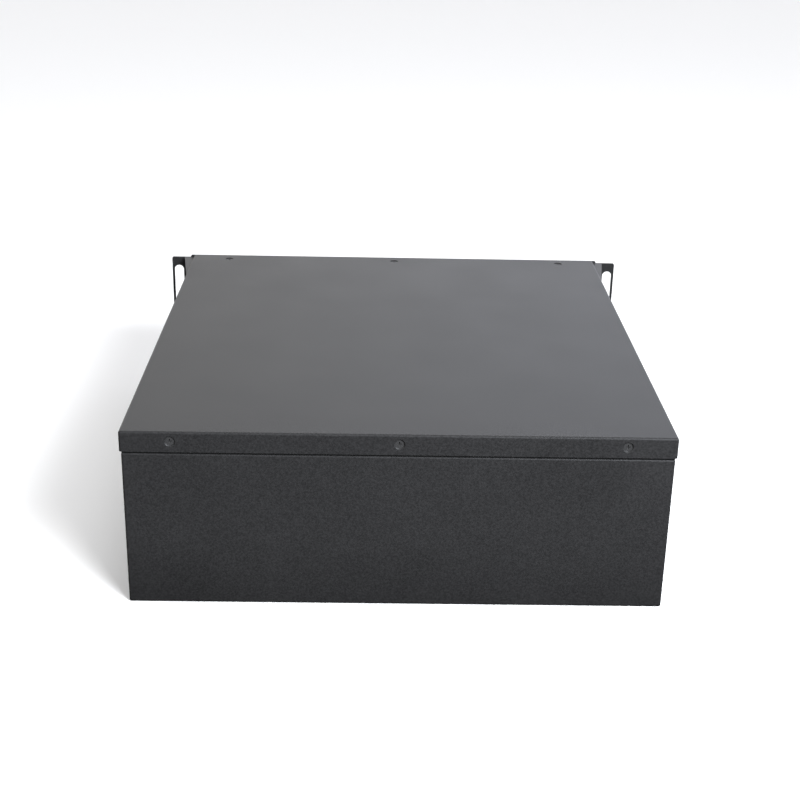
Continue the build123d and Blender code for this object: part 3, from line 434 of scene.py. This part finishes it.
def circuit_board():
    """Green solder mask over copper tracks."""
    paint = Paint("circuit_board")
    tracks = paint.node("ShaderNodeTexVoronoi", feature="DISTANCE_TO_EDGE", distance="MANHATTAN")
    tracks.inputs["Scale"].default_value = 1 / (4 * MM)
    paint.link(paint.place, tracks.inputs["Vector"])
    distance = tracks.outputs["Distance"]
    paint.feed("Base Color", paint.ramp(distance, (0.03, 0.2, 0.08), (0.012, 0.1, 0.04), 0.02, 0.05))
    paint.feed("Roughness", paint.ramp(paint.noise(6 * MM), 0.28, 0.4))
    paint.feed("Normal", paint.bump(distance, 0.03 * MM, 0.4))
    return paint.material


def make_finishes():
    """One material for each slot of the record, put on the CAD nodes."""
    made = {
        "powder_coat": powder_coat(),
        "black_screw": plastic("black_screw", (0.042, 0.042, 0.043), 0.36, 0.5 * MM),
        "zinc_steel": metal("zinc_steel", (0.62, 0.63, 0.65), 0.3),
        "handle_metal": powder_coat("handle_metal", (0.012, 0.012, 0.0125), (0.024, 0.024, 0.025)),
        "overlay_film": film("overlay_film", (0.016, 0.0165, 0.018)),
        "black_plastic": plastic("black_plastic", (0.02, 0.02, 0.021), 0.42),
        "red_plastic": plastic("red_plastic", (0.42, 0.014, 0.012), 0.4),
        "grey_plastic": plastic("grey_plastic", (0.17, 0.175, 0.18), 0.5),
        "white_plastic": plastic("white_plastic", (0.5, 0.5, 0.485), 0.42),
        "green_plastic": plastic("green_plastic", (0.02, 0.2, 0.07), 0.42),
        "window": clear_window(),
        "screen": lit_screen(),
        "lamp": lamp_lenses(),
        "brass": metal("brass", (0.75, 0.53, 0.22), 0.28),
        "circuit_board": circuit_board(),
        "cell_can": film("cell_can", (0.02, 0.09, 0.3)),
        "aluminium": metal("aluminium", (0.78, 0.79, 0.8), 0.32, (0.1, 1.0, 1.0)),
        "copper": metal("copper", (0.83, 0.43, 0.28), 0.3, (0.1, 1.0, 1.0)),
        "insulation": plastic("insulation", (0.5, 0.45, 0.32), 0.7, 1.2 * MM, 0.05 * MM),
        "cable_sheath": plastic("cable_sheath", (0.02, 0.02, 0.02), 0.55),
    }
    slots = {part["node"]: part["material_slot"] for part in frame["record"]["subparts"]}
    for name, node in NODES.items():
        node.data.materials.clear()
        node.data.materials.append(made[slots[name]])
    return made


# ---- small pieces -------------------------------------------------------------------------
PRINT = 0.04 * MM  # thickness of printed ink
FONT_SIZE = 1.4  # the font's size over the height of its digits
OVERLAY_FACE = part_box("panel_overlay")[0].y
PORTS, PORT_PITCH, FIRST_PORT = 4, 20 * MM, 8 * MM


class Shape:
    """Small solids collected into one piece."""

    def __init__(self):
        self.bm = bmesh.new()

    def box(self, low, high, rounding=0.0):
        low, high = Vector(low), Vector(high)
        middle, size = (low + high) / 2, high - low
        corners = bmesh.ops.create_cube(self.bm, size=1.0)["verts"]
        for corner in corners:
            corner.co = middle + Vector(c * s for c, s in zip(corner.co, size))
        if rounding:
            edges = list({edge for corner in corners for edge in corner.link_edges})
            bmesh.ops.bevel(
                self.bm, geom=edges, offset=rounding, segments=2, affect="EDGES", profile=0.5,
            )

    def bar(self, x, z, wide, high, face):
        """A printed bar on a face that looks along -Y."""
        self.box((x - wide / 2, face - PRINT, z - high / 2), (x + wide / 2, face, z + high / 2))

    def frame(self, low, high, width, face):
        """A printed rectangular outline on a face that looks along -Y."""
        (x0, z0), (x1, z1) = low, high
        print_face = face - PRINT
        self.box((x0, print_face, z0), (x1, face, z0 + width))
        self.box((x0, print_face, z1 - width), (x1, face, z1))
        self.box((x0, print_face, z0 + width), (x0 + width, face, z1 - width))
        self.box((x1 - width, print_face, z0 + width), (x1, face, z1 - width))

    def figures(self, text, x, z, height, face):
        """Printed digits or signs on a face that looks along -Y."""
        curve = bpy.data.curves.new("figures", "FONT")
        curve.body = text
        curve.size = height * FONT_SIZE
        curve.extrude = PRINT / 2
        curve.align_x = "CENTER"
        curve.align_y = "CENTER"
        writing = bpy.data.objects.new("figures", curve)
        mesh = bpy.data.meshes.new_from_object(writing)
        place = Matrix.Translation((x, face - PRINT / 2, z))
        mesh.transform(place @ Matrix.Rotation(math.radians(90), 4, "X"))
        self.bm.from_mesh(mesh)
        bpy.data.meshes.remove(mesh)
        bpy.data.objects.remove(writing)
        bpy.data.curves.remove(curve)

    def finish(self, name, slot, body="pack", material=None):
        mesh = bpy.data.meshes.new(name)
        self.bm.to_mesh(mesh)
        self.bm.free()
        mesh.materials.append(material or FINISH[slot])
        piece = bpy.data.objects.new(name, mesh)
        bpy.context.scene.collection.objects.link(piece)
        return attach(piece, body)


def middle_of(node):
    low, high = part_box(node)
    return (low + high) / 2


def port_contacts():
    """Eight sprung wires in each network port, each climbing to the roof in four steps."""
    low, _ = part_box("network_ports")
    wire_pitch, half_width = 1.02 * MM, 0.2 * MM
    bottom = 34.6 * MM
    for port in range(PORTS):
        x = low.x + FIRST_PORT + port * PORT_PITCH
        wires = Shape()
        for way in range(8):
            wire_x = x + (way - 3.5) * wire_pitch
            for step in range(4):
                y = low.y + (2.0 + step * 2.2) * MM
                z = bottom + step * 0.9 * MM
                wires.box((wire_x - half_width, y, z), (wire_x + half_width, y + 2.5 * MM, z + 0.95 * MM))
        wires.finish(f"port_contacts_{port + 1}", "brass")


def panel_print():
    """Fine outlines round the groups of controls, and numbers beside what is counted."""
    ink = Shape()

    def outline(node, margin, above):
        """A line round a node, with room left above it for a row of numbers."""
        low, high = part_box(node)
        ink.frame(
            (low.x - margin, low.z - margin), (high.x + margin, high.z + margin + above),
            0.35 * MM, OVERLAY_FACE,
        )

    def numbers(count, first, pitch, z, height):
        for k in range(count):
            ink.figures(str(k + 1), first + pitch * k, z, height, OVERLAY_FACE)

    outline("network_ports", 2.6 * MM, 6 * MM)
    outline("dry_contact_block", 2.6 * MM, 6 * MM)
    outline("dip_switch_body", 2.6 * MM, 6 * MM)
    outline("status_leds", 3.2 * MM, 5.5 * MM)
    low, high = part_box("network_ports")
    numbers(PORTS, low.x + FIRST_PORT, PORT_PITCH, high.z + 4.2 * MM, 3.2 * MM)
    low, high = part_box("status_leds")
    lamps, lamp_radius = 6, 1.7 * MM
    lamp_pitch = (high.x - low.x - 2 * lamp_radius) / (lamps - 1)
    numbers(lamps, low.x + lamp_radius, lamp_pitch, high.z + 3.6 * MM, 2.6 * MM)
    for node, ways, pitch, height in (
        ("dip_switch_body", 4, 2.54 * MM, 2.2 * MM),
        ("dry_contact_block", 6, 3.81 * MM, 2.4 * MM),
    ):
        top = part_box(node)[1].z
        first = middle_of(node).x - (ways - 1) / 2 * pitch
        numbers(ways, first, pitch, top + 4.2 * MM, height)
    ink.finish("panel_print", "white_plastic")


def key_marks():
    """A small arrow or sign on each of the four menu keys."""
    for key, sign in zip(range(1, 5), ("+", "-", "<", ">")):
        node = f"display_button_{key}"
        middle = middle_of(node)
        mark = Shape()
        mark.figures(sign, middle.x, middle.z, 2.6 * MM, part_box(node)[0].y)
        mark.finish(f"menu_key_mark_{key}", "white_plastic", f"menu_key_{key}")


def screen_figures():
    """A battery gauge with room for ten bars and eight of them showing, and three plain numbers."""
    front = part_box("display_module")[0].y
    low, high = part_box("display_lens")
    middle_x = (low.x + high.x) / 2
    ink = Shape()
    left, right = middle_x - 27 * MM, middle_x + 8 * MM
    bottom, top = low.z + 6 * MM, low.z + 17 * MM
    ink.frame((left, bottom), (right, top), 0.6 * MM, front)
    ink.bar(right + 0.8 * MM, (bottom + top) / 2, 1.6 * MM, 4 * MM, front)
    for bar in range(8):
        x = left + (2.85 + bar * 3.25) * MM
        ink.bar(x, (bottom + top) / 2, 2.5 * MM, 7.8 * MM, front)
    ink.figures("88%", middle_x + 19 * MM, low.z + 11.5 * MM, 6.5 * MM, front)
    for text, side in (("51.2", -17), ("0.0", 17)):
        ink.figures(text, middle_x + side * MM, high.z - 9 * MM, 7.5 * MM, front)
    dark_ink = plastic("screen_ink", (0.012, 0.014, 0.013), 0.5)
    ink.finish("screen_figures", "screen", material=dark_ink)


def touch(node, x, z):
    """Where a line drawn straight into the front of a node first meets it, and how that face looks."""
    outside = cad_box[0][1] - 200 * MM
    found, place, facing, _ = NODES[node].ray_cast((x, outside, z), (0, 1, 0))
    if not found:
        raise ValueError(f"{node} isn't met at {x}, {z}")
    return place, facing


def on_face(shape, place, facing):
    """Turns a shape drawn round the origin, looking along -Y, so that it lies on a face."""
    turn = Vector((0, -1, 0)).rotation_difference(facing).to_matrix().to_4x4()
    shape.bm.transform(Matrix.Translation(place) @ turn)


def bar_mark(shape, wide, high, depth, z=0.0):
    """A bar drawn round the origin, or over or under it."""
    shape.box((-wide / 2, -depth, z - high / 2), (wide / 2, depth, z + high / 2))


def ring_mark(shape, radius, width, depth, sides=28):
    """A flat ring drawn round the origin: short bars that meet end to end."""
    angle = 2 * math.pi / sides
    for side in range(sides):
        corners = []
        for turn in (side * angle, (side + 1) * angle):
            for reach in (radius - width / 2, radius + width / 2):
                corners.append((reach * math.cos(turn), reach * math.sin(turn)))
        inner, outer, next_inner, next_outer = corners
        outline = (inner, outer, next_outer, next_inner)
        front = [shape.bm.verts.new((x, -depth, z)) for x, z in outline]
        back = [shape.bm.verts.new((x, depth, z)) for x, z in outline]
        shape.bm.faces.new(front)
        shape.bm.faces.new(reversed(back))
        for k in range(4):
            shape.bm.faces.new((front[k - 1], back[k - 1], back[k], front[k]))


def seam_shadow_strip():
    """A near-black strip in the open line between the cover's skirt and the rear wall: a painted shadow that
    darkens the seam.
    """
    skirt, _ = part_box("top_cover")
    low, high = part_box("case_tray")
    seam, clear = 1.5 * MM, 0.4 * MM
    shadow_strip = Shape()
    shadow_strip.box(
        (low.x + clear, high.y - 1.4 * MM, skirt.z - seam),
        (high.x - clear, high.y - 0.65 * MM, skirt.z),
        0.2 * MM,
    )
    # Near-black finish for the strip: painted shadow in the seam.
    shadow_black = plastic("seam_shadow_black", (0.002, 0.002, 0.002), 0.95, 0.6 * MM, 0.08 * MM)
    shadow_strip.finish("seam_shadow_strip", "insulation", material=shadow_black)


def hood_signs():
    """A raised plus or minus on each terminal hood, over three grip ribs."""
    for pole in ("positive", "negative"):
        node = f"terminal_cover_{pole}"
        low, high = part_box(node)
        x = (low.x + high.x) / 2
        place, facing = touch(node, x, low.z + 26 * MM)
        sign = Shape()
        span, stroke, depth = 11 * MM, 2.2 * MM, 0.5 * MM
        bar_mark(sign, span, stroke, depth)
        if pole == "positive":
            arm = (span - stroke) / 2
            for side in (-1, 1):
                bar_mark(sign, stroke, arm, depth, side * (arm + stroke) / 2)
        on_face(sign, place, facing)
        sign.finish(f"{pole}_sign", "white_plastic", f"{pole}_hood")
        ribs = Shape()
        for step in range(3):
            z = low.z + (4.5 + 2.6 * step) * MM
            ribs.box(
                (x - 11 * MM, place.y - 0.6 * MM, z),
                (x + 11 * MM, place.y + 0.4 * MM, z + 1.1 * MM),
                0.3 * MM,
            )
        ribs.finish(f"{pole}_grip", "red_plastic" if pole == "positive" else "black_plastic", f"{pole}_hood")


def switch_marks():
    """A bar and a ring on the rocker's ends, and a bar, a ring and a flag at each breaker pole."""
    middle = middle_of("power_switch_rocker")
    for name, z in (("bar", middle.z + 4.5 * MM), ("ring", middle.z - 4 * MM)):
        mark = Shape()
        if name == "bar":
            bar_mark(mark, 0.8 * MM, 3.6 * MM, 3 * PRINT)
        else:
            ring_mark(mark, 1.7 * MM, 0.6 * MM, 3 * PRINT)
        on_face(mark, *touch("power_switch_rocker", middle.x, z))
        mark.finish(f"rocker_{name}_mark", "white_plastic", "rocker")

    middle = middle_of("breaker_body")
    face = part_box("breaker_body")[0].y
    ink = Shape()
    flags = Shape()
    for number, side in ((1, -1), (2, 1)):
        x = middle.x + side * 13.5 * MM
        ink.bar(x, middle.z + 14 * MM, 0.9 * MM, 5 * MM, face)
        flags.bar(x + 7.75 * MM, middle.z + 13.75 * MM, 3.5 * MM, 2.5 * MM, face)
        ring = Shape()
        ring_mark(ring, 2.1 * MM, 0.8 * MM, PRINT)
        on_face(ring, Vector((x, face, middle.z - 14 * MM)), Vector((0, -1, 0)))
        ring.finish(f"breaker_ring_mark_{number}", "black_plastic")
    for end in (-1, 1):
        for side in (-1, 1):
            ink.bar(middle.x + side * 13.1 * MM, middle.z + end * 19.5 * MM, 23.8 * MM, 0.4 * MM, face)
    ink.finish("breaker_print", "black_plastic")
    flags.finish("breaker_flags", "green_plastic")


def panel_signs():
    """Printed plus and minus signs above the terminal hoods, and an earth sign beside its stud."""
    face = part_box("front_panel")[0].y
    ink = Shape()
    for pole in ("positive", "negative"):
        hood = f"terminal_cover_{pole}"
        x, z = middle_of(hood).x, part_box(hood)[1].z + 7.5 * MM
        span, stroke = 6 * MM, 1 * MM
        ink.bar(x, z, span, stroke, face)
        if pole == "positive":
            arm = (span - stroke) / 2
            for side in (-1, 1):
                ink.bar(x, z + side * (arm + stroke) / 2, stroke, arm, face)
    x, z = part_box("ground_stud")[1].x + 7 * MM, middle_of("ground_stud").z
    ink.bar(x, z + 1.5 * MM, 0.6 * MM, 3 * MM, face)
    for step, wide in enumerate((5.6, 3.6, 1.6)):
        ink.bar(x, z - step * 1.1 * MM, wide * MM, 0.6 * MM, face)
    ink.finish("terminal_signs", "white_plastic")


FINISH = make_finishes()
make_camera()
make_floor()
make_surround()
make_lamps()
port_contacts()
panel_print()
key_marks()
screen_figures()
seam_shadow_strip()
hood_signs()
switch_marks()
panel_signs()
